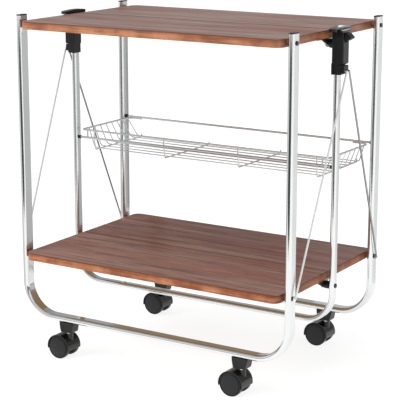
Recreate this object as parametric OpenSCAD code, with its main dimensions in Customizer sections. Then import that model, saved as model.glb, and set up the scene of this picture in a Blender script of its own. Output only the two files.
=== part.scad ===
// Folding two-shelf serving trolley with a hanging wire basket.
// X is the length, -Y the front, +Z up. The floor is z = 0. Millimetres.

/* [Frames] */
// Distance from the trolley's centre to the centre of each post, along the length
post_x = 320; // [250:450]
// Distance from the centre to the outer posts, across the depth
post_y = 183; // [140:260]
// Height of the outer posts, caps included
post_top = 729.5; // [600:850]
// Wide side of the outer flat-oval tube
tube_w = 28; // [20:36]
// Narrow side of the outer flat-oval tube
tube_t = 13; // [9:18]
// Height of the outer frames' bottom run, at its centre
run_z = 86.5; // [80:120]
// Bend radius of the outer frames, at the tube's centre
bend_r = 70; // [50:90]
// Wide side of the middle flat-oval tube
mid_w = 20; // [14:24]
// Narrow side of the middle flat-oval tube
mid_t = 11; // [8:14]
// Height of the middle frame's bottom run, at its centre
mid_run_z = 119; // [105:150]
// Bend radius of the middle frame
mid_bend_r = 61; // [45:80]
// Wall thickness of all tubes
wall = 1.2; // [0.8:2]

/* [Shelves] */
// Half of a shelf's length
shelf_half_x = 306; // [240:430]
// Half of a shelf's depth
shelf_half_y = 210; // [160:280]
// Board thickness
board_t = 16; // [12:22]
// Height of the top shelf's upper face
top_z = 718; // [600:830]
// Height of the lower shelf's upper face
low_z = 226; // [180:300]
// Corner radius of the boards, in plan
corner_r = 16; // [5:30]
// Gap between the two halves of a shelf
seam = 1.2; // [0.6:3]

/* [Fold] */
// How far the middle hinge line lies below the outer pivots
link_drop = 20; // [14:30]
// Height at which the stays hang on the runner
runner_z = 638; // [560:640]
// Diameter of the stays
stay_d = 4; // [3:6]

/* [Basket] */
// Height of the basket's front pivot rod
rod_z = 443; // [380:520]
// Height of the end rims
rim_z = 460; // [400:540]
// Diameter of the rear rail
rail_d = 4.6; // [4:7]
// Diameter of the crosswise wires
cross_d = 3; // [2:4]
// Diameter of the lengthwise wires
wire_d = 2.4; // [2:3]

/* [Casters] */
// Distance from the centre to the casters' stems, along the length
caster_x = 214; // [150:260]
// Wheel radius
wheel_r = 25; // [20:30]
// How far a wheel's axle trails behind the stem
trail = 15; // [8:22]
// Half of a caster's total width over both wheels
caster_half_w = 23.6; // [18:28]

/* [Hidden] */
pivot_top = top_z - board_t/2;        // outer pivots of the top shelf
pivot_low = low_z - board_t/2;        // outer pivots of the lower shelf
mid_top = pivot_top - link_drop;      // middle hinge line, top
mid_low = pivot_low - link_drop;      // middle hinge line, lower
pin_d = 6;
hole_d = 6.1;
post_out = post_x + tube_t/2;
post_in = post_x - tube_t/2;
mid_in = post_x - mid_t/2;
mid_out = post_x + mid_t/2;
stay_low_x = 331.4;
stay_top_x = 343;
stay_y = 5;

// ---------- helpers ----------

module flat_oval(w, t) {
  union() {
    square([t, w - t], center = true);
    for (s = [-1, 1]) translate([0, s*(w - t)/2]) circle(d = t, $fn = 48);
  }
}

// solid sweep of a flat oval along a U standing in the XZ plane
module u_sweep(w, t, px, zr, r, zt) {
  for (s = [-1, 1]) {
    translate([s*px, 0, zr + r]) linear_extrude(zt - zr - r) flat_oval(w, t);
    translate([s*(px - r), 0, zr + r]) rotate([90, 0, 0]) rotate([0, 0, s > 0 ? -90 : 180])
      rotate_extrude(angle = 90, $fn = 96) translate([r, 0]) flat_oval(w, t);
  }
  translate([-(px - r), 0, zr]) rotate([0, 90, 0]) linear_extrude(2*(px - r)) flat_oval(w, t);
}

module u_tube(w, t, px, zr, r, zt)
  difference() {
    u_sweep(w, t, px, zr, r, zt);
    u_sweep(w - 2*wall, t - 2*wall, px, zr, r, zt + 8);
  }

// cylinder along X
module xcyl(x0, x1, d, y = 0, z = 0, fn = 40)
  translate([min(x0, x1), y, z]) rotate([0, 90, 0]) cylinder(d = d, h = abs(x1 - x0), $fn = fn);

// cylinder along Y
module ycyl(y0, y1, d, x = 0, z = 0, fn = 40)
  translate([x, min(y0, y1), z]) rotate([-90, 0, 0]) cylinder(d = d, h = abs(y1 - y0), $fn = fn);

// rounded rectangle in plan, x0..x1 by y0..y1
module rrect(x0, x1, y0, y1, r) {
  translate([x0 + r, y0]) square([x1 - x0 - 2*r, y1 - y0]);
  translate([x0, y0 + r]) square([x1 - x0, y1 - y0 - 2*r]);
  for (x = [x0 + r, x1 - r], y = [y0 + r, y1 - r]) translate([x, y]) circle(r = r, $fn = 40);
}

function unit(v) = v/norm(v);

// places children so that their X, Y, Z axes become u, v, n at point p
module place(p, u, v, n)
  multmatrix([[u[0], v[0], n[0], p[0]], [u[1], v[1], n[1], p[1]], [u[2], v[2], n[2], p[2]], [0, 0, 0, 1]])
    children();

function any_normal(d) = abs(d[2]) < 0.9 ? unit(cross([0, 0, 1], d)) : unit(cross([1, 0, 0], d));

module rod(a, b, d) {
  n = unit(b - a);
  u = any_normal(n);
  place(a, u, cross(n, u), n) cylinder(d = d, h = norm(b - a), $fn = 24);
}

// round wire along the points p, with bends of radius r at the inner ones
module wire(p, d, r) {
  k = len(p);
  cut = [for (i = [0:k - 1]) (i == 0 || i == k - 1) ? 0
    : let (a = unit(p[i - 1] - p[i]), b = unit(p[i + 1] - p[i])) r/tan(acos(a*b)/2)];
  for (i = [0:k - 2])
    let (n = unit(p[i + 1] - p[i]))
      rod(p[i] + n*cut[i], p[i + 1] - n*cut[i + 1], d);
  for (i = [1:k - 2])
    let (a = unit(p[i - 1] - p[i]), b = unit(p[i + 1] - p[i]), phi = acos(a*b),
         c = p[i] + unit(a + b)*(r/sin(phi/2)),
         s = unit(p[i] + a*cut[i] - c), e = unit(p[i] + b*cut[i] - c), n = unit(cross(s, e)))
      place(c, s, cross(n, s), n)
        rotate_extrude(angle = 180 - phi, $fn = 48) translate([r, 0]) circle(d = d, $fn = 24);
}

// stations [centre, direction] along a bent wire, with n steps in each bend
function stations(p, r, n) = let (k = len(p)) concat(
  [[p[0], unit(p[1] - p[0])]],
  [for (i = [1:k - 2]) let (a = unit(p[i] - p[i - 1]), b = unit(p[i + 1] - p[i]), beta = acos(a*b),
        nrm = unit(b - a*(a*b)), c = p[i] - a*(r*tan(beta/2)) + nrm*r)
    for (j = [0:n]) let (g = beta*j/n) [c - nrm*(r*cos(g)) + a*(r*sin(g)), a*cos(g) + nrm*sin(g)]],
  [[p[k - 1], unit(p[k - 1] - p[k - 2])]]);

// fine wire swept as one faceted skin along a flat path; b is the normal of the path's plane
module fine_wire(p, d, r, b, n = 4, m = 12) {
  st = stations(p, r, n);
  k = len(st);
  polyhedron(
    points = [for (q = st) let (u = unit(cross(q[1], b))) for (j = [0:m - 1])
      q[0] + (u*cos(360*j/m) + b*sin(360*j/m))*(d/2)],
    faces = concat([[for (j = [0:m - 1]) j]],
      [for (i = [0:k - 2], j = [0:m - 1]) [i*m + j, (i + 1)*m + j, (i + 1)*m + (j + 1)%m]],
      [for (i = [0:k - 2], j = [0:m - 1]) [i*m + j, (i + 1)*m + (j + 1)%m, i*m + (j + 1)%m]],
      [[for (j = [m - 1:-1:0]) (k - 1)*m + j]]),
    convexity = 6);
}

module both_x() { children(); mirror([1, 0, 0]) children(); }

// ---------- frames ----------

module outer_tube(s)
  translate([0, s*post_y, 0]) difference() {
    u_tube(tube_w, tube_t, post_x, run_z, bend_r, post_top - 1.8);
    for (z = [pivot_top, pivot_low]) xcyl(-post_x - 20, post_x + 20, hole_d, 0, z);
    for (x = [-1, 1], k = [-1, 1])
      translate([x*caster_x + k*11.2, 0, run_z - tube_t/2 - 1]) cylinder(d = 3.1, h = wall + 2, $fn = 24);
    if (s > 0) for (x = [-1, 1])
      xcyl(x*(post_in - 1), x*(post_in + wall + 1), rail_d + 0.1, 0, rod_z + link_drop);
  }

module front_frame_tube() color([0.82, 0.83, 0.85]) outer_tube(-1);
module rear_frame_tube() color([0.82, 0.83, 0.85]) outer_tube(1);

module post_caps(s)
  for (x = [-1, 1]) translate([x*post_x, s*post_y, 0]) {
    translate([0, 0, post_top - 1.8]) linear_extrude(1.2) flat_oval(tube_w, tube_t);
    translate([0, 0, post_top - 0.6]) linear_extrude(0.6) flat_oval(tube_w - 1.2, tube_t - 1.2);
    translate([0, 0, post_top - 13.8]) linear_extrude(12.01) flat_oval(tube_w - 2*wall - 0.2, tube_t - 2*wall - 0.2);
  }

module front_post_caps() color([0.1, 0.1, 0.1]) post_caps(-1);
module rear_post_caps() color([0.1, 0.1, 0.1]) post_caps(1);

module middle_frame_tube()
  color([0.82, 0.83, 0.85]) difference() {
    u_tube(mid_w, mid_t, post_x, mid_run_z, mid_bend_r, 705.5);
    for (z = [mid_top, mid_low]) xcyl(-post_x - 20, post_x + 20, hole_d, 0, z);
    for (x = [-1, 1]) xcyl(x*(mid_in - 1), x*(mid_in + wall + 1), 5.1, 0, rod_z);
  }

// ---------- caster sockets ----------

module sockets(s)
  for (x = [-1, 1]) translate([x*caster_x, s*post_y, 0]) difference() {
    intersection() {
      rotate([90, 0, 0]) translate([0, 0, -15]) linear_extrude(30)
        polygon([[-18.6, 80], [18.6, 80], [18.2, 76.5], [14.6, 60], [13, 58], [-13, 58], [-14.6, 60], [-18.2, 76.5]]);
      translate([0, 0, 50]) linear_extrude(40) rrect(-19, 19, -11.5, 11.5, 3.5);
    }
    translate([0, 0, 50]) cylinder(d = 8.1, h = 27, $fn = 40);
    for (k = [-1, 1]) translate([k*11.2, 0, 50]) {
      cylinder(d = 3.1, h = 40, $fn = 24);
      cylinder(d = 5.2, h = 10, $fn = 24);
    }
    for (k = [-1, 1]) translate([-8, k*11.5 - 0.6, 62]) cube([16, 1.2, 12]);
  }

module front_caster_sockets() color([0.14, 0.14, 0.14]) sockets(-1);
module rear_caster_sockets() color([0.14, 0.14, 0.14]) sockets(1);

module socket_screws(s)
  for (x = [-1, 1], k = [-1, 1]) translate([x*caster_x + k*11.2, s*post_y, 0]) {
    translate([0, 0, 58.2]) cylinder(d = 5, h = 1.7, $fn = 24);
    translate([0, 0, 59.9]) cylinder(d = 3, h = 23, $fn = 24);
  }

module front_socket_screws() color([0.6, 0.6, 0.62]) socket_screws(-1);
module rear_socket_screws() color([0.6, 0.6, 0.62]) socket_screws(1);

// ---------- shelves ----------

// s = -1 front half, 1 rear half; zt the upper face, zp the outer pivots
module board(s, zt)
  mirror([0, s > 0 ? 1 : 0, 0]) difference() {
    translate([0, 0, zt - board_t]) linear_extrude(board_t) union() {
      translate([-shelf_half_x, -shelf_half_y + corner_r])
        square([2*shelf_half_x, shelf_half_y - corner_r - seam/2]);
      translate([-shelf_half_x + corner_r, -shelf_half_y]) square([2*(shelf_half_x - corner_r), 2*corner_r]);
      for (x = [-1, 1]) translate([x*(shelf_half_x - corner_r), -shelf_half_y + corner_r])
        circle(r = corner_r, $fn = 48);
    }
    for (x = [-1, 1]) xcyl(x*(shelf_half_x - 22), x*(shelf_half_x + 1), hole_d, -post_y, zt - board_t/2);
    for (x = [-1, 1], y = [14, 34]) translate([x*plate_x(s), -y, zt - board_t - 1])
      cylinder(d = 3.1, h = 12, $fn = 24);
  }

// flange centre of a hinge plate
function plate_x(s) = s < 0 ? 292 : 287.5;
function ear_x(s) = s < 0 ? 300.6 : 296.2;

module hinge_plates(s, zt)
  both_x() mirror([0, s > 0 ? 1 : 0, 0]) {
    zb = zt - board_t;
    zp = zt - board_t/2 - link_drop;
    x0 = ear_x(s);
    difference() {
      union() {
        translate([x0 - 18, -44, zb - 2.2]) cube([18 + 2.4, 39, 2.2]);
        translate([x0, 0, zp]) rotate([90, 0, 90]) linear_extrude(2.4) union() {
          circle(d = 15, $fn = 48);
          polygon([[-42, 12], [-4, 12], [5.46, 5.14], [-5.3, -5.3], [-36, 9.8], [-42, 9.8]]);
        }
      }
      xcyl(x0 - 1, x0 + 4, hole_d, 0, zp);
      for (y = [14, 34]) translate([plate_x(s), -y, zb - 4]) cylinder(d = 3.1, h = 6, $fn = 24);
    }
  }

// fasteners of one shelf half: the hinge screws and the shoulder bolts of the outer pivots
module shelf_bolts(s, zt)
  both_x() mirror([0, s > 0 ? 1 : 0, 0]) {
    zb = zt - board_t;
    for (y = [14, 34]) translate([plate_x(s), -y, zb]) {
      translate([0, 0, -4]) cylinder(d = 6.4, h = 1.75, $fn = 24);
      translate([0, 0, -2.3]) cylinder(d = 3, h = 12.3, $fn = 24);
    }
    xcyl(shelf_half_x - 21, post_out + 0.3, pin_d, -post_y, zt - board_t/2);
    xcyl(post_out + 0.3, post_out + 1.6, 9, -post_y, zt - board_t/2);
    xcyl(post_out + 1.59, post_out + 2.1, 7, -post_y, zt - board_t/2);
  }

module spacers(s, zt)
  both_x() mirror([0, s > 0 ? 1 : 0, 0]) difference() {
    xcyl(shelf_half_x + 0.03, post_in - 0.3, 10, -post_y, zt - board_t/2);
    xcyl(shelf_half_x - 1, post_in + 1, hole_d, -post_y, zt - board_t/2);
  }

module top_shelf_front() color([0.55, 0.42, 0.34]) board(-1, top_z);
module top_shelf_rear() color([0.52, 0.4, 0.32]) board(1, top_z);
module lower_shelf_front() color([0.5, 0.34, 0.28]) board(-1, low_z);
module lower_shelf_rear() color([0.47, 0.32, 0.26]) board(1, low_z);
module top_front_hinge_plates() color([0.62, 0.62, 0.62]) hinge_plates(-1, top_z);
module top_rear_hinge_plates() color([0.58, 0.58, 0.58]) hinge_plates(1, top_z);
module lower_front_hinge_plates() color([0.62, 0.62, 0.62]) hinge_plates(-1, low_z);
module lower_rear_hinge_plates() color([0.58, 0.58, 0.58]) hinge_plates(1, low_z);
module top_front_bolts() color([0.2, 0.2, 0.2]) shelf_bolts(-1, top_z);
module top_rear_bolts() color([0.2, 0.2, 0.2]) shelf_bolts(1, top_z);
module lower_front_bolts() color([0.2, 0.2, 0.2]) shelf_bolts(-1, low_z);
module lower_rear_bolts() color([0.2, 0.2, 0.2]) shelf_bolts(1, low_z);
module top_front_spacers() color([0.12, 0.12, 0.12]) spacers(-1, top_z);
module top_rear_spacers() color([0.12, 0.12, 0.12]) spacers(1, top_z);
module lower_front_spacers() color([0.12, 0.12, 0.12]) spacers(-1, low_z);
module lower_rear_spacers() color([0.12, 0.12, 0.12]) spacers(1, low_z);

// ---------- middle brackets ----------

lever_x = 332;
lever_z = 706;

module housing()
  difference() {
    union() {
      intersection() {
        translate([0, 0, 650.5]) linear_extrude(63.5) rrect(312.5, 338, -13.5, 13.5, 3);
        // the lower outer corner is cut back
        rotate([90, 0, 0]) translate([0, 0, -20]) linear_extrude(40)
          polygon([[312, 650], [334, 650], [338.5, 654], [338.5, 714.5], [312, 714.5]]);
      }
      xcyl(304, 313, 18, 0, mid_top, 48);
      // tongue on the inner side, down past the runner
      translate([312.5, -13.5, 630.5]) cube([5.7, 22.5, 22]);
    }
    // channel for the middle post
    translate([post_x, 0, 625]) linear_extrude(81) flat_oval(mid_w + 0.4, mid_t + 0.4);
    // hinge pin
    xcyl(303, 331.6, hole_d, 0, mid_top);
    // latch pocket, open outwards and upwards to the cap
    translate([328, -5.2, 695]) cube([11, 10.4, 18]);
    translate([336.2, -9.8, 694]) cube([3, 19.6, 19]);
    // latch pin
    ycyl(-11.2, 14, 3.1, lever_x, lever_z, 24);
    // sight groove down the front and rear faces
    for (y = [-1, 1]) translate([322, y*13.5 - 0.5, 656]) cube([1, 1, 34]);
  }

module bracket_housing_right() color([0.13, 0.13, 0.13]) housing();
module bracket_housing_left() color([0.13, 0.13, 0.13]) mirror([1, 0, 0]) housing();

// a long grip bar that runs fore and aft on a flange over the housing
module cap()
  difference() {
    union() {
      intersection() {
        translate([0, 0, 714.05]) linear_extrude(12) rrect(315.5, 331.5, -38.5, 38.5, 7.5);
        rotate([90, 0, 90]) translate([0, 0, 300]) linear_extrude(60)
          polygon(concat([[-14, 714.05], [-33, 716], [-38.5, 720.4]],
            [for (i = [-4:4]) [i*10, 725 - i*i*0.19]], [[38.5, 720.4], [33, 716], [14, 714.05]]));
      }
      intersection() {
        translate([0, 0, 714.05]) linear_extrude(5.6) rrect(313, 338.6, -21, 21, 6);
        rotate([90, 0, 90]) translate([0, 0, 300]) linear_extrude(60)
          polygon([[-15, 714.05], [-21, 716.2], [-21, 720], [21, 720], [21, 716.2], [15, 714.05]]);
      }
    }
    // drawn-in outer edges of the bar and of the flange
    rotate([90, 0, 0]) translate([0, 0, -50]) linear_extrude(100) {
      polygon([[327.6, 725.6], [332, 721.8], [332, 726]]);
      polygon([[335, 719.8], [339, 717.4], [339, 720]]);
      polygon([[315, 723.6], [317, 725.2], [315, 726]]);
    }
  }

module handle_cap_right() color([0.16, 0.16, 0.16]) cap();
module handle_cap_left() color([0.16, 0.16, 0.16]) mirror([1, 0, 0]) cap();

module lever()
  difference() {
    union() {
      // finger tab
      rotate([90, 0, 0]) translate([0, 0, -9]) linear_extrude(18)
        polygon([[338.4, 712.2], [343.4, 712.6], [351.4, 704.8], [351.6, 702.6], [343.4, 697.6], [341, 698.2], [338.4, 700.4]]);
      // leg in the housing, with the eye
      rotate([90, 0, 0]) translate([0, 0, -4.6]) linear_extrude(9.2) union() {
        polygon([[332, 709.2], [339, 711.6], [339, 702], [334.4, 699.6], [330, 699], [329.2, 704]]);
        translate([lever_x, lever_z]) circle(d = 6.4, $fn = 32);
      }
    }
    ycyl(-10, 10, 3.2, lever_x, lever_z, 24);
  }

module latch_lever_right() color([0.1, 0.1, 0.1]) lever();
module latch_lever_left() color([0.1, 0.1, 0.1]) mirror([1, 0, 0]) lever();

module lever_pins() color([0.65, 0.65, 0.67]) both_x() ycyl(-11, 13.2, 3, lever_x, lever_z, 24);

module upper_pivot_pins()
  color([0.65, 0.65, 0.67]) both_x() {
    xcyl(294.9, 331.4, pin_d, 0, mid_top);
    xcyl(292.6, 294.9, 10, 0, mid_top);
  }

module lower_pivot_bolts()
  color([0.2, 0.2, 0.2]) both_x() {
    xcyl(294.9, mid_out + 0.1, pin_d, 0, mid_low);
    xcyl(292.6, 294.9, 10, 0, mid_low);
    xcyl(mid_out + 0.1, mid_out + 1.6, 9.4, 0, mid_low);
    xcyl(mid_out + 1.59, mid_out + 2.4, 7, 0, mid_low);
  }

module lower_pivot_bosses()
  color([0.12, 0.12, 0.12]) both_x() difference() {
    xcyl(304, mid_in - 0.05, 16, 0, mid_low, 48);
    xcyl(303, mid_in + 1, hole_d, 0, mid_low);
  }

// ---------- runners and stays ----------

module runner()
  difference() {
    union() {
      translate([0, 0, 630.5]) linear_extrude(19) rrect(312.5, 331.5, -12.5, 12.5, 2.5);
      // ear for the stays
      rotate([90, 0, 0]) translate([0, 0, -9.5]) linear_extrude(19)
        polygon([[330, 649], [337.5, 649], [339, 647.6], [339, 635.3], [338, 634.4], [333.2, 634.4], [333.2, 631.6], [330, 631.6]]);
    }
    translate([post_x, 0, 625]) linear_extrude(30) flat_oval(mid_w + 0.6, mid_t + 0.6);
    // open on the inner side, where the housing's tongue is
    translate([311, -14, 625]) cube([7.6, 28, 30]);
    // sockets of the stays
    for (y = [-1, 1]) xcyl(333.4, 340, stay_d + 0.1, y*stay_y, runner_z, 32);
  }

module runner_right() color([0.13, 0.13, 0.13]) runner();
module runner_left() color([0.13, 0.13, 0.13]) mirror([1, 0, 0]) runner();

module stay(s)
  union() {
    a = [stay_top_x, s*stay_y, runner_z];
    b = [stay_low_x, s*post_y, pivot_low];
    rod(a, b, stay_d);
    translate(a) sphere(d = stay_d + 0.2, $fn = 32);
    translate(b) sphere(d = stay_d + 0.2, $fn = 32);
    xcyl(333.8, stay_top_x, stay_d, s*stay_y, runner_z, 32);
    xcyl(post_out + 2.4, post_out + 4, 11, s*post_y, pivot_low);
  }

module stay_front_right() color([0.75, 0.76, 0.78]) stay(-1);
module stay_rear_right() color([0.75, 0.76, 0.78]) stay(1);
module stay_front_left() color([0.75, 0.76, 0.78]) mirror([1, 0, 0]) stay(-1);
module stay_rear_left() color([0.75, 0.76, 0.78]) mirror([1, 0, 0]) stay(1);

// ---------- basket ----------

rail_y = post_y;
rail_z = rod_z + link_drop;
front_y = 0.5;             // the front wire of the rim
rows = 8;                  // lengthwise wires on the bottom
contact = 0.03;            // welded wires are drawn this far apart
function row_y(i) = 17 + 24*i;
floor_z = rod_z - 23.7;    // wire centres of the bottom
corner_y = rail_y - 18.2;  // where the end rims start to bend round to the rail
// where the wires' ends meet the end rims, the last one inside the rim's corner
function end_at(i, q = 17 - 3.1) = i < rows - 1 ? [306 - 3.1, 21.6 + 21.4*i] : [289 + q*cos(23), corner_y + q*sin(23)];

module basket_rim()
  color([0.78, 0.79, 0.81]) union() {
    // rear rail, its ends in the rear posts, and the front pivot rod
    xcyl(-post_in - 1, post_in + 1, rail_d, rail_y, rail_z, 32);
    xcyl(-mid_in - 1, mid_in + 1, 5, 0, rod_z, 32);
    // end rims, bent round into the rail and the front wire
    both_x() wire([[306, front_y + 12, rim_z], [306, rail_y - 1.2, rim_z], [270, rail_y - 1.2, rim_z]], 4, 17);
    wire([[306, front_y + 12, rim_z], [306, front_y, rim_z], [-306, front_y, rim_z], [-306, front_y + 12, rim_z]], 4, 8);
    // hangers between the front rod and the front wire
    both_x() translate([291, front_y/2, rod_z]) cylinder(d = 3.4, h = rim_z - rod_z, $fn = 32);
  }

module basket_wires()
  color([0.78, 0.79, 0.81]) {
    // crosswise wires: down the front, along the bottom, a short upturn behind
    for (x = [-276, -92, 92, 276]) {
      y0 = front_y + 2 + cross_d/2 + contact;
      zb = floor_z - wire_d/2 - cross_d/2 - contact;
      fine_wire([[x, y0, rim_z + 1.5], [x, y0, rod_z - 4], [x, 8.5, zb], [x, row_y(rows - 1) + 5, zb], [x, row_y(rows - 1) + 5, floor_z + 4]],
        cross_d, 5, [1, 0, 0]);
    }
    // lengthwise wires, turned up at both ends to the end rims
    for (i = [0:rows - 1]) let (y = row_y(i), e = end_at(i),
        v = [0, e[1] - y, rim_z + 1 - floor_z], b = unit(cross([1, 0, 0], v)))
      fine_wire([[-e[0], e[1], rim_z + 1], [-284, y, floor_z], [284, y, floor_z], [e[0], e[1], rim_z + 1]], wire_d, 9, b);
  }

module basket_bushes()
  color([0.12, 0.12, 0.12]) both_x() {
    difference() {
      xcyl(309.6, mid_in - 0.3, 7.4, 0, rod_z);
      xcyl(309, mid_in + 1, 5.1, 0, rod_z);
    }
    difference() {
      xcyl(309.6, post_in - 0.3, 8.4, rail_y, rail_z);
      xcyl(309, post_in + 1, rail_d + 0.1, rail_y, rail_z);
    }
  }

// ---------- casters, drawn with the stem on the Z axis, trailing to -X ----------

hood_r = wheel_r + 2.8;
web = 10.6;
wheel_in = 11.4;

module sector(r, a0, a1)    // plane sector, angles from the +X axis
  polygon(concat([[0, 0]], [for (i = [0:8]) let (a = a0 + (a1 - a0)*i/8) [r*cos(a), r*sin(a)]]));

module hood()
  translate([-trail, 0, wheel_r]) difference() {
    union() {
      // shell over both wheels
      rotate([90, 0, 0]) translate([0, 0, -21.6]) linear_extrude(43.2) intersection() {
        difference() { circle(r = hood_r, $fn = 96); circle(r = wheel_r + 0.8, $fn = 96); }
        sector(60, -11, 191);
      }
      // web between the wheels
      rotate([90, 0, 0]) translate([0, 0, -web]) linear_extrude(2*web) union() {
        intersection() { circle(r = hood_r - 1, $fn = 96); sector(60, -11, 191); }
        circle(r = 11, $fn = 48);
      }
      // stem boss, standing on the shell
      difference() {
        translate([trail, 0, 6]) cylinder(d = 17, h = 23.8, $fn = 48);
        rotate([90, 0, 0]) cylinder(r = hood_r - 1, h = 60, center = true, $fn = 96);
      }
    }
    rotate([90, 0, 0]) cylinder(d = 6.04, h = 60, center = true, $fn = 40);
    translate([trail, 0, 8]) cylinder(d = 8.04, h = 40, $fn = 40);
  }

module stem_axle() {
  // stem with its bright collar
  translate([0, 0, 33.2]) cylinder(d = 8, h = 43.2, $fn = 40);
  translate([0, 0, 54.9]) cylinder(d = 15, h = 2.8, $fn = 40);
  // axle
  ycyl(-19.6, 19.6, 6, -trail, wheel_r);
}

module wheel(s)
  translate([-trail, 0, wheel_r]) rotate([s > 0 ? -90 : 90, 0, 0]) rotate_extrude($fn = 96) difference() {
    union() {
      polygon([[0, wheel_in], [wheel_r - 1.2, wheel_in], [wheel_r, wheel_in + 1.2], [wheel_r, 20.2],
               [wheel_r - 0.5, 21.4], [wheel_r - 1.4, 22], [wheel_r - 2.2, 22.1], [wheel_r - 2.6, 21.1],
               [wheel_r - 3.7, 21.1], [wheel_r - 4, 22.1], [0, 22.1]]);
      intersection() {
        translate([0, caster_half_w - 160]) circle(r = 160, $fn = 180);
        translate([0, 22]) square([wheel_r - 4, 4]);
      }
    }
    translate([-1, wheel_in - 1]) square([1 + 3.05, 20 - wheel_in + 1]);
    // hollow between tread and hub, open inwards
    polygon([[8, wheel_in - 1], [wheel_r - 4.5, wheel_in - 1], [wheel_r - 4.5, 17], [8, 17]]);
  }

module at_corner(x, y) translate([x*caster_x, y*post_y, 0]) children();

module caster_front_left_hood() color([0.1, 0.1, 0.1]) at_corner(-1, -1) hood();
module caster_front_right_hood() color([0.1, 0.1, 0.1]) at_corner(1, -1) hood();
module caster_rear_left_hood() color([0.1, 0.1, 0.1]) at_corner(-1, 1) hood();
module caster_rear_right_hood() color([0.1, 0.1, 0.1]) at_corner(1, 1) hood();
module caster_front_left_stem_axle() color([0.8, 0.8, 0.8]) at_corner(-1, -1) stem_axle();
module caster_front_right_stem_axle() color([0.8, 0.8, 0.8]) at_corner(1, -1) stem_axle();
module caster_rear_left_stem_axle() color([0.8, 0.8, 0.8]) at_corner(-1, 1) stem_axle();
module caster_rear_right_stem_axle() color([0.8, 0.8, 0.8]) at_corner(1, 1) stem_axle();
module caster_front_left_wheel_a() color([0.22, 0.22, 0.23]) at_corner(-1, -1) wheel(-1);
module caster_front_left_wheel_b() color([0.22, 0.22, 0.23]) at_corner(-1, -1) wheel(1);
module caster_front_right_wheel_a() color([0.22, 0.22, 0.23]) at_corner(1, -1) wheel(-1);
module caster_front_right_wheel_b() color([0.22, 0.22, 0.23]) at_corner(1, -1) wheel(1);
module caster_rear_left_wheel_a() color([0.22, 0.22, 0.23]) at_corner(-1, 1) wheel(-1);
module caster_rear_left_wheel_b() color([0.22, 0.22, 0.23]) at_corner(-1, 1) wheel(1);
module caster_rear_right_wheel_a() color([0.22, 0.22, 0.23]) at_corner(1, 1) wheel(-1);
module caster_rear_right_wheel_b() color([0.22, 0.22, 0.23]) at_corner(1, 1) wheel(1);

front_frame_tube();
rear_frame_tube();
middle_frame_tube();
front_post_caps();
rear_post_caps();
front_caster_sockets();
rear_caster_sockets();
front_socket_screws();
rear_socket_screws();
top_shelf_front();
top_shelf_rear();
lower_shelf_front();
lower_shelf_rear();
top_front_hinge_plates();
top_rear_hinge_plates();
lower_front_hinge_plates();
lower_rear_hinge_plates();
top_front_bolts();
top_rear_bolts();
lower_front_bolts();
lower_rear_bolts();
top_front_spacers();
top_rear_spacers();
lower_front_spacers();
lower_rear_spacers();
bracket_housing_left();
bracket_housing_right();
handle_cap_left();
handle_cap_right();
latch_lever_left();
latch_lever_right();
lever_pins();
upper_pivot_pins();
lower_pivot_bolts();
lower_pivot_bosses();
runner_left();
runner_right();
stay_front_left();
stay_front_right();
stay_rear_left();
stay_rear_right();
basket_rim();
basket_wires();
basket_bushes();
caster_front_left_hood();
caster_front_right_hood();
caster_rear_left_hood();
caster_rear_right_hood();
caster_front_left_stem_axle();
caster_front_right_stem_axle();
caster_rear_left_stem_axle();
caster_rear_right_stem_axle();
caster_front_left_wheel_a();
caster_front_left_wheel_b();
caster_front_right_wheel_a();
caster_front_right_wheel_b();
caster_rear_left_wheel_a();
caster_rear_left_wheel_b();
caster_rear_right_wheel_a();
caster_rear_right_wheel_b();
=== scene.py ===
import math
import bpy
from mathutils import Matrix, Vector

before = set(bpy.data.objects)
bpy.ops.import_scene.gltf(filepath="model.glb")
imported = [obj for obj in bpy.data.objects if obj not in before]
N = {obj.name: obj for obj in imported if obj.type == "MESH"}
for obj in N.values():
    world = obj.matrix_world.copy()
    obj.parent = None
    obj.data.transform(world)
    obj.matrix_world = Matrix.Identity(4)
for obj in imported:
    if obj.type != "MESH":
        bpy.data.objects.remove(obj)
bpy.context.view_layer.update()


# ---------------------------------------------------------------- node helpers

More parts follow.
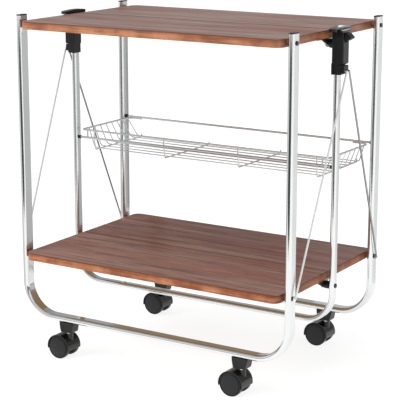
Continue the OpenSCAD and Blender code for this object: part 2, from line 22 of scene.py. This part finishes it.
class Mat:
    """A small builder for one procedural material."""

    def __init__(self, name):
        self.m = bpy.data.materials.new(name)
        self.m.use_nodes = True
        self.t = self.m.node_tree
        self.bsdf = self.t.nodes["Principled BSDF"]
        self.out = self.t.nodes["Material Output"]

    def n(self, kind, **props):
        node = self.t.nodes.new(kind)
        for k, v in props.items():
            setattr(node, k, v)
        return node

    def link(self, a, b):
        self.t.links.new(a, b)

    def set(self, **values):
        for k, v in values.items():
            self.bsdf.inputs[k.replace("_", " ")].default_value = v

    def coords(self, scale=(1, 1, 1), offset=(0, 0, 0)):
        tc = self.n("ShaderNodeTexCoord")
        mp = self.n("ShaderNodeMapping")
        mp.inputs["Scale"].default_value = scale
        mp.inputs["Location"].default_value = offset
        self.link(tc.outputs["Object"], mp.inputs["Vector"])
        return mp.outputs["Vector"]

    def noise(self, vec, scale, detail=4.0, rough=0.5, distort=0.0):
        nd = self.n("ShaderNodeTexNoise")
        nd.inputs["Scale"].default_value = scale
        nd.inputs["Detail"].default_value = detail
        nd.inputs["Roughness"].default_value = rough
        nd.inputs["Distortion"].default_value = distort
        self.link(vec, nd.inputs["Vector"])
        return nd.outputs["Fac"]

    def ramp(self, fac, stops, interp="LINEAR"):
        rp = self.n("ShaderNodeValToRGB")
        cr = rp.color_ramp
        cr.interpolation = interp
        while len(cr.elements) < len(stops):
            cr.elements.new(0.5)
        for e, (p, c) in zip(cr.elements, stops):
            e.position = p
            e.color = tuple(c) + (1.0,) if len(c) == 3 else c
        self.link(fac, rp.inputs["Fac"])
        return rp.outputs["Color"]

    def math(self, op, a, b=None, c=None, clamp=False):
        nd = self.n("ShaderNodeMath", operation=op, use_clamp=clamp)
        for i, v in enumerate((a, b, c)):
            if v is None:
                continue
            if isinstance(v, (int, float)):
                nd.inputs[i].default_value = v
            else:
                self.link(v, nd.inputs[i])
        return nd.outputs[0]

    def mix(self, fac, a, b, blend="MIX"):
        nd = self.n("ShaderNodeMix", data_type="RGBA", blend_type=blend)
        for sock, v in ((nd.inputs[0], fac), (nd.inputs[6], a), (nd.inputs[7], b)):
            if isinstance(v, (int, float)):
                sock.default_value = v
            elif isinstance(v, (tuple, list)):
                sock.default_value = tuple(v) + (1.0,) if len(v) == 3 else v
            else:
                self.link(v, sock)
        return nd.outputs[2]

    def bump(self, height, strength, distance, normal=None):
        b = self.n("ShaderNodeBump")
        b.inputs["Strength"].default_value = strength
        b.inputs["Distance"].default_value = distance
        self.link(height, b.inputs["Height"])
        if normal is not None:
            self.link(normal, b.inputs["Normal"])
        return b.outputs["Normal"]

    def normal_xyz(self):
        g = self.n("ShaderNodeTexCoord")
        sp = self.n("ShaderNodeSeparateXYZ")
        self.link(g.outputs["Normal"], sp.inputs[0])
        return sp.outputs

    def xyz(self):
        g = self.n("ShaderNodeTexCoord")
        sp = self.n("ShaderNodeSeparateXYZ")
        self.link(g.outputs["Object"], sp.inputs[0])
        return sp.outputs

    def to(self, sock, name):
        self.link(sock, self.bsdf.inputs[name])


def srgb(r, g, b):
    def f(c):
        c /= 255.0
        return c / 12.92 if c <= 0.04045 else ((c + 0.055) / 1.055) ** 2.4
    return (f(r), f(g), f(b))


# ---------------------------------------------------------------- materials

def chrome(name, tint=(0.80, 0.81, 0.81), rough=0.10, satin=0.0):
    """Chrome plate; satin adds roughness on the flat sides of the upright oval tubes, whose rounds face along Y."""
    m = Mat(name)
    m.set(Metallic=1.0)
    v = m.coords()
    haze = m.noise(v, 9.0, 3.0)
    col = m.ramp(haze, [(0.3, tuple(c * 0.96 for c in tint)), (0.7, tint)])
    m.to(col, "Base Color")
    smudge = m.noise(v, 34.0, 5.0, 0.6)
    fine = m.noise(v, 420.0, 2.0)
    r = m.math("MULTIPLY_ADD", smudge, 0.06, rough - 0.03)
    r = m.math("MULTIPLY_ADD", fine, 0.02, r)
    if satin:
        flat = m.ramp(m.math("ABSOLUTE", m.normal_xyz()[1]), [(0.08, (1, 1, 1)), (0.34, (0, 0, 0))])
        post = m.ramp(m.xyz()[2], [(0.15, (0, 0, 0)), (0.22, (1, 1, 1))])
        r = m.math("MULTIPLY_ADD", m.math("MULTIPLY", flat, post), satin, r)
    m.to(r, "Roughness")
    m.to(m.bump(m.noise(v, 14.0, 2.0), 0.02, 0.002), "Normal")
    return m.m


def steel(name, base, rough=0.34):
    m = Mat(name)
    m.set(Metallic=1.0)
    v = m.coords((1, 1, 1))
    spangle = m.noise(v, 160.0, 3.0, 0.6)
    col = m.ramp(spangle, [(0.3, tuple(c * 0.8 for c in base)), (0.7, base)])
    m.to(col, "Base Color")
    m.to(m.math("MULTIPLY_ADD", m.noise(v, 300.0, 2.0), 0.16, rough - 0.08), "Roughness")
    m.to(m.bump(m.noise(v, 900.0, 2.0), 0.15, 0.0002), "Normal")
    return m.m


def plastic(name, base, rough, grain=1500.0, strength=0.25, worn=0.05, coat=0.0, spec=0.5):
    m = Mat(name)
    m.set(Metallic=0.0, Specular_IOR_Level=spec)
    v = m.coords()
    cloud = m.noise(v, 22.0, 4.0)
    edge = m.noise(v, 130.0, 5.0, 0.7)
    col = m.ramp(cloud, [(0.3, tuple(c * 0.8 for c in base)), (0.72, tuple(c * 1.2 for c in base))])
    scuff = m.ramp(edge, [(0.66, (0, 0, 0)), (0.74, (1, 1, 1))])
    col = m.mix(m.math("MULTIPLY", scuff, worn), col, (0.20, 0.20, 0.20))
    m.to(col, "Base Color")
    m.to(m.math("MULTIPLY_ADD", m.noise(v, 60.0, 4.0), 0.14, rough - 0.07), "Roughness")
    m.to(m.bump(m.noise(v, grain, 2.0), strength, 0.00012), "Normal")
    if coat:
        m.set(Coat_Weight=coat, Coat_Roughness=0.12)
    return m.m


def laminate(name, z_top, seed, spec, seam_shade, red, mid, grey, streak, edge_lo, edge_hi):
    """Walnut-grain laminate: long soft figure along X on the faces, a lighter band on the edges."""
    m = Mat(name)
    m.set(Metallic=0.0, Specular_IOR_Level=spec)
    # broad figure, a few centimetres wide and about a third of a metre long
    wander = m.noise(m.coords((1.0, 10.0, 1.0), (seed, seed * 0.7, 0)), 2.6, 3.0, 0.55, 0.5)
    base = m.ramp(wander, [(0.35, red), (0.5, mid), (0.64, grey)])
    # slow drift of the tone over the board
    drift = m.noise(m.coords((1.0, 2.0, 1.0), (seed * 2.0, seed, 0)), 2.2, 2.0)
    base = m.mix(m.ramp(drift, [(0.38, (0, 0, 0)), (0.66, (0.55, 0.55, 0.55))]), base, grey)
    # streaks and fine pores
    strk = m.noise(m.coords((1.3, 40.0, 1.0), (seed * 1.3, seed, 0)), 3.2, 5.0, 0.66, 0.5)
    dark = m.ramp(strk, [(0.36, (1, 1, 1)), (0.50, (0, 0, 0))])
    col = m.mix(m.math("MULTIPLY", dark, 0.85), base, streak)
    glow = m.ramp(strk, [(0.55, (0, 0, 0)), (0.66, (1, 1, 1))])
    col = m.mix(m.math("MULTIPLY", glow, 0.5), col, tuple(min(1.0, c * 1.75) for c in mid))
    fine = m.coords((3.0, 150.0, 3.0), (seed, seed * 2.1, 0))
    pore = m.noise(fine, 6.0, 4.0, 0.7)
    pm = m.ramp(pore, [(0.40, (1, 1, 1)), (0.54, (0, 0, 0))])
    col = m.mix(m.math("MULTIPLY", pm, 0.5), col, tuple(c * 0.5 for c in streak))
    px, py, pz = m.xyz()
    # painted shade: a darker line along the seam between the half boards and along the long edges, where the top turns
    # down
    ay = m.math("ABSOLUTE", py)
    seam_shade_mask = m.ramp(m.math("MULTIPLY", m.math("ABSOLUTE", m.math("SUBTRACT", ay, 0.1053)), 9.5),
                 [(0.945, (0, 0, 0)), (0.985, (1, 1, 1))])
    col = m.mix(m.math("MULTIPLY", seam_shade_mask, seam_shade), col, tuple(c * 0.35 for c in streak))
    # edge band: a finer figure, darker over its top few millimetres, and painted shade on the board ends, which face
    # along X
    eg = m.noise(m.coords((3.0, 3.0, 60.0), (seed * 3.1, seed, 0)), 5.0, 5.0, 0.65, 0.4)
    eb = m.noise(m.coords((1.4, 1.4, 1.4), (seed, 0, 0)), 16.0, 4.0, 0.6)
    band = m.ramp(m.math("MULTIPLY_ADD", eb, 0.5, m.math("MULTIPLY", eg, 0.5)), [(0.40, edge_lo), (0.60, edge_hi)])
    depth = m.math("SUBTRACT", z_top, pz)
    edge_top_darkening = m.ramp(m.math("MULTIPLY", depth, 100.0), [(0.10, (1, 1, 1)), (0.34, (0.42, 0.42, 0.42)), (0.85, (0, 0, 0))])
    band = m.mix(m.math("MULTIPLY", edge_top_darkening, 0.85), band, tuple(c * 0.42 for c in edge_lo))
    nx, ny, nz = m.normal_xyz()
    # painted shade: the board ends, which face along X, are mixed darker than the long edges
    end_face_shade = m.math("GREATER_THAN", m.math("ABSOLUTE", nx), 0.75)
    band = m.mix(m.math("MULTIPLY", end_face_shade, 0.18), band, tuple(c * 0.42 for c in edge_lo))
    face = m.math("GREATER_THAN", m.math("ABSOLUTE", nz), 0.6)
    # a plain yellowish backing sheet under the board
    back = m.ramp(m.noise(m.coords((4.0, 40.0, 1.0), (seed, 0, 0)), 4.0, 4.0), [(0.35, srgb(132, 107, 78)), (0.65, srgb(150, 124, 92))])
    col = m.mix(m.math("LESS_THAN", nz, -0.6), col, back)
    m.to(m.mix(face, band, col), "Base Color")
    m.to(m.math("MULTIPLY_ADD", m.noise(fine, 3.0, 3.0), 0.12, 0.30), "Roughness")
    n1 = m.bump(pore, 0.12, 0.0002)
    m.to(m.bump(strk, 0.06, 0.0004, n1), "Normal")
    return m.m


CHROME = chrome("chrome_tube", rough=0.085, satin=0.13)
WIRE = chrome("chrome_wire", (0.78, 0.80, 0.80), 0.24)
# painted light and shade: the stays are copies of the tube chrome, tinted brighter on the front stays and much darker
# on the rear stays
STAY_FRONT = chrome("chrome_stay", (0.95, 0.96, 0.96), 0.36)
STAY_REAR = chrome("chrome_wire_dull", (0.34, 0.35, 0.35), 0.16)
ZINC = steel("dark_zinc_plate", (0.30, 0.29, 0.27))
BRIGHT = steel("bright_steel", (0.86, 0.86, 0.86), 0.2)
BOLT = plastic("black_bolt", srgb(26, 26, 27), 0.35, 900.0, 0.15, 0.1, 0.2)
BROWN = plastic("brown_spacer_plastic", srgb(112, 68, 47), 0.42, worn=0.02, spec=0.3)
BLACK = plastic("black_plastic", srgb(15, 15, 16), 0.34, worn=0.03, spec=0.36)
GLOSS = plastic("black_gloss_plastic", srgb(9, 9, 10), 0.20, 1200.0, 0.10, 0.03, 0.2, 0.36)
WHEEL = plastic("wheel_plastic", srgb(19, 20, 22), 0.34, 1100.0, 0.16, 0.04, spec=0.36)

EDGES = (srgb(126, 70, 44), srgb(176, 117, 82))
TOP = (srgb(120, 66, 50), srgb(129, 92, 81), srgb(140, 119, 110), srgb(62, 28, 20)) + EDGES
LOW = (srgb(121, 70, 55), srgb(125, 86, 73), srgb(130, 101, 89), srgb(76, 39, 30)) + EDGES
TOPWOOD = {}
LOWWOOD = {}
for i, key in enumerate(("front", "rear")):
    TOPWOOD[key] = laminate("laminate_top_" + key, 0.718, 3.7 + 5.3 * i, 0.5, 0.75, *TOP)
    LOWWOOD[key] = laminate("laminate_low_" + key, 0.226, 17.9 + 6.1 * i, 0.15, 0.38, *LOW)


def pick(node):
    if "frame_tube" in node:
        return CHROME
    if node.startswith("stay_rear"):
        return STAY_REAR
    if node.startswith("stay"):
        return STAY_FRONT
    if node in ("basket_rim", "basket_wires"):
        return WIRE
    if node.startswith("top_shelf"):
        return TOPWOOD[node.rsplit("_", 1)[1]]
    if node.startswith("lower_shelf"):
        return LOWWOOD[node.rsplit("_", 1)[1]]
    if "hinge_plates" in node:
        return ZINC
    if node.endswith("_bolts"):
        return BOLT
    if "spacer" in node:
        return BROWN
    if "stem_axle" in node or "screws" in node or node in ("lever_pins", "upper_pivot_pins"):
        return BRIGHT
    if "wheel" in node:
        return WHEEL
    if "hood" in node or "handle_cap" in node:
        return GLOSS
    return BLACK


def smooth_by_angle(ob, degrees=32.0):
    """Shading only: soft faces, with sharp edges where the surface really turns."""
    me = ob.data
    me.polygons.foreach_set("use_smooth", [True] * len(me.polygons))
    me.update()
    me.set_sharp_from_angle(angle=math.radians(degrees))


for name, ob in N.items():
    ob.data.materials.clear()
    ob.data.materials.append(pick(name))
    smooth_by_angle(ob)


# ---------------------------------------------------------------- floor, light, camera

def stage_mesh(name, verts, faces, mat):
    me = bpy.data.meshes.new(name)
    me.from_pydata(verts, [], faces)
    me.update()
    ob = bpy.data.objects.new(name, me)
    bpy.context.scene.collection.objects.link(ob)
    ob.data.materials.append(mat)
    return ob


# an evenly lit, pale shooting table: most of its light is its own, so shadows stay faint
fm = Mat("studio_floor")
fm.set(Roughness=0.9, Specular_IOR_Level=0.0, Emission_Color=(1.0, 1.0, 1.0, 1.0), Emission_Strength=0.86)
fm.to(fm.ramp(fm.noise(fm.coords(), 2.0, 2.0), [(0.3, (0.19, 0.19, 0.19)), (0.7, (0.21, 0.21, 0.21))]), "Base Color")
stage_mesh("studio_floor", [(-30, -30, 0), (30, -30, 0), (30, 30, 0), (-30, 30, 0)], [(0, 1, 2, 3)], fm.m)


# a white sweep all round and above, seen only directly: low views have the same pale ground as high ones
bm = Mat("studio_sweep")
bm.set(Roughness=1.0, Specular_IOR_Level=0.0, Base_Color=(0.0, 0.0, 0.0, 1.0), Emission_Strength=1.0)
bm.to(bm.ramp(bm.noise(bm.coords((0.05, 0.05, 0.05)), 2.0, 2.0), [(0.3, (0.97, 0.97, 0.97)), (0.7, (0.99, 0.99, 0.99))]), "Emission Color")
R, H = 26.0, 18.0
ring = [(R * math.cos(math.radians(a)), R * math.sin(math.radians(a))) for a in range(0, 360, 10)]
sweep_verts = [(x, y, -0.5) for x, y in ring] + [(x, y, H) for x, y in ring]
sweep_faces = [(i, (i + 1) % 36, (i + 1) % 36 + 36, i + 36) for i in range(36)] + [tuple(range(36, 72))]
sweep = stage_mesh("studio_sweep", sweep_verts, sweep_faces, bm.m)
sweep.visible_diffuse = False
sweep.visible_glossy = False
sweep.visible_shadow = False
sweep.visible_transmission = False


def reflection_card(name, verts, stops, axis=0, lo=0.0, hi=1.0):
    """A glowing card seen only in reflections, where it paints reflections and highlights; it is not seen directly,
    lights nothing else and casts no shadow.

    Its brightness runs through the stops between two places on one axis."""
    m = Mat(name)
    m.set(Roughness=1.0, Specular_IOR_Level=0.0, Emission_Strength=1.0)
    m.set(Base_Color=(0.0, 0.0, 0.0, 1.0))
    pos = m.math("DIVIDE", m.math("SUBTRACT", m.xyz()[axis], lo), hi - lo, clamp=True)
    m.to(m.ramp(pos, [(p, (v, v, v)) for p, v in stops]), "Emission Color")
    ob = stage_mesh(name, verts, [(0, 1, 2, 3)], m.m)
    ob.visible_camera = False
    ob.visible_diffuse = False
    ob.visible_shadow = False
    ob.visible_transmission = False
    return ob


def fan(r0, r1, a0, a1, z=0.002):
    """Corners of a floor zone, between two radii and two directions seen from the trolley."""
    a0, a1 = math.radians(a0), math.radians(a1)
    return [(r * math.cos(a), r * math.sin(a), z) for r, a in ((r0, a0), (r1, a0), (r1, a1), (r0, a1))]


# painted reflections: floor zones seen only in reflections, dark towards the front and grey round the lit table
reflection_card("flag_front", fan(1.75, 8.0, -118, -44), [(0, 0.06), (1, 0.09)])
reflection_card("flag_left", fan(0.75, 8.0, 105, 180), [(0, 0.72), (1, 0.70)])
reflection_card("flag_left_front", fan(0.75, 8.0, 180, 242), [(0, 0.74), (1, 0.60)])
reflection_card("flag_rear", fan(0.95, 9.0, 40, 105), [(0, 0.86), (1, 0.88)])
# painted reflection: a grey card close behind, left of the middle, seen only in reflections
reflection_card("card_rear", [(-0.04, 0.62, 0.001), (0.44, 0.62, 0.001), (0.44, 0.62, 0.70), (-0.04, 0.62, 0.70)],
     [(0, 0.58), (1, 0.62)])

# painted reflections: grey cards that keep the flat sides of the left posts even, and a glowing strip that paints a
# highlight on the right grip bar
for part, ya, yb, lo, hi in (("front", -0.19, -0.05, 0.52, 0.60), ("middle", 0.014, 0.06, 0.46, 0.56), ("rear", 0.225, 0.30, 0.22, 0.34)):
    reflection_card("card_left_" + part, [(-0.284, ya, 0.228), (-0.284, yb, 0.228), (-0.284, yb, 0.69), (-0.284, ya, 0.69)],
         [(0, lo), (1, hi)], 2, 0.228, 0.69)
# painted highlight: this strip glows brighter than white so the top of the right grip bar shows a highlight
reflection_card("grip_highlight_card", [(0.298, 0.043, 0.7265), (0.334, 0.043, 0.7265), (0.334, 0.043, 0.80), (0.298, 0.043, 0.80)],
     [(0, 2.4), (1, 0.8)], 2, 0.7265, 0.80)

world = bpy.data.worlds.new("studio_world")
bpy.context.scene.world = world
world.use_nodes = True
wt = world.node_tree
bg = wt.nodes["Background"]


def wnode(kind, **props):
    node = wt.nodes.new(kind)
    for k, v in props.items():
        setattr(node, k, v)
    return node


def wramp(fac, stops):
    rp = wnode("ShaderNodeValToRGB")
    cr = rp.color_ramp
    while len(cr.elements) < len(stops):
        cr.elements.new(0.5)
    for e, (p, c) in zip(cr.elements, stops):
        e.position = p
        e.color = (c, c, c, 1.0)
    wt.links.new(fac, rp.inputs["Fac"])
    return rp.outputs["Color"]


# a soft backdrop behind the trolley, a dim ceiling with one soft opening, and a dark front
wc = wnode("ShaderNodeTexCoord")
ws = wnode("ShaderNodeSeparateXYZ")
wt.links.new(wc.outputs["Generated"], ws.inputs[0])
back = wramp(ws.outputs[1], [(0.02, 0.0), (0.42, 1.0)])
high = wramp(ws.outputs[2], [(0.25, 0.42), (0.62, 0.30), (0.86, 0.30), (0.95, 0.9)])
low = wramp(ws.outputs[2], [(0.06, 0.12), (0.26, 0.95), (0.55, 0.80), (0.80, 0.35), (0.95, 0.9)])
wm = wnode("ShaderNodeMix", data_type="RGBA")
wt.links.new(back, wm.inputs[0])
wt.links.new(low, wm.inputs[6])
wt.links.new(high, wm.inputs[7])
wt.links.new(wm.outputs[2], bg.inputs["Color"])
bg.inputs["Strength"].default_value = 1.0


def area(name, loc, target, size, energy, size_y=None, color=(1, 1, 1)):
    li = bpy.data.lights.new(name, "AREA")
    li.shape = "RECTANGLE"
    li.size = size
    li.size_y = size_y or size
    li.energy = energy
    li.color = color
    ob = bpy.data.objects.new(name, li)
    ob.location = loc
    ob.rotation_euler = (Vector(target) - Vector(loc)).to_track_quat("-Z", "Y").to_euler()
    ob.visible_glossy = False
    bpy.context.scene.collection.objects.link(ob)
    return ob


area("key", (-1.9, -2.3, 2.4), (0, 0, 0.35), 1.5, 55)
area("fill", (2.9, -0.9, 1.5), (0, 0, 0.4), 1.2, 16)
sun = bpy.data.lights.new("sky_softbox", "SUN")
sun.energy = 2.6
sun.angle = math.radians(60)
sob = bpy.data.objects.new("sky_softbox", sun)
sob.rotation_euler = (math.radians(24), math.radians(-14), 0)
sob.visible_glossy = False
bpy.context.scene.collection.objects.link(sob)

cam = bpy.data.cameras.new("camera")
cam.sensor_width = 36.0
cam.sensor_fit = "HORIZONTAL"
cam.lens = 1427.2 / 400.0 * 36.0
cam.clip_end = 100.0
cob = bpy.data.objects.new("camera", cam)
cob.location = (1.5635, -2.5089, 1.0275)
cob.rotation_euler = (math.radians(76.85), 0.0, math.radians(31.90))
bpy.context.scene.collection.objects.link(cob)
bpy.context.scene.camera = cob

bpy.context.scene.view_settings.view_transform = "Standard"

# ---------------------------------------------------------------- update

bpy.context.view_layer.update()
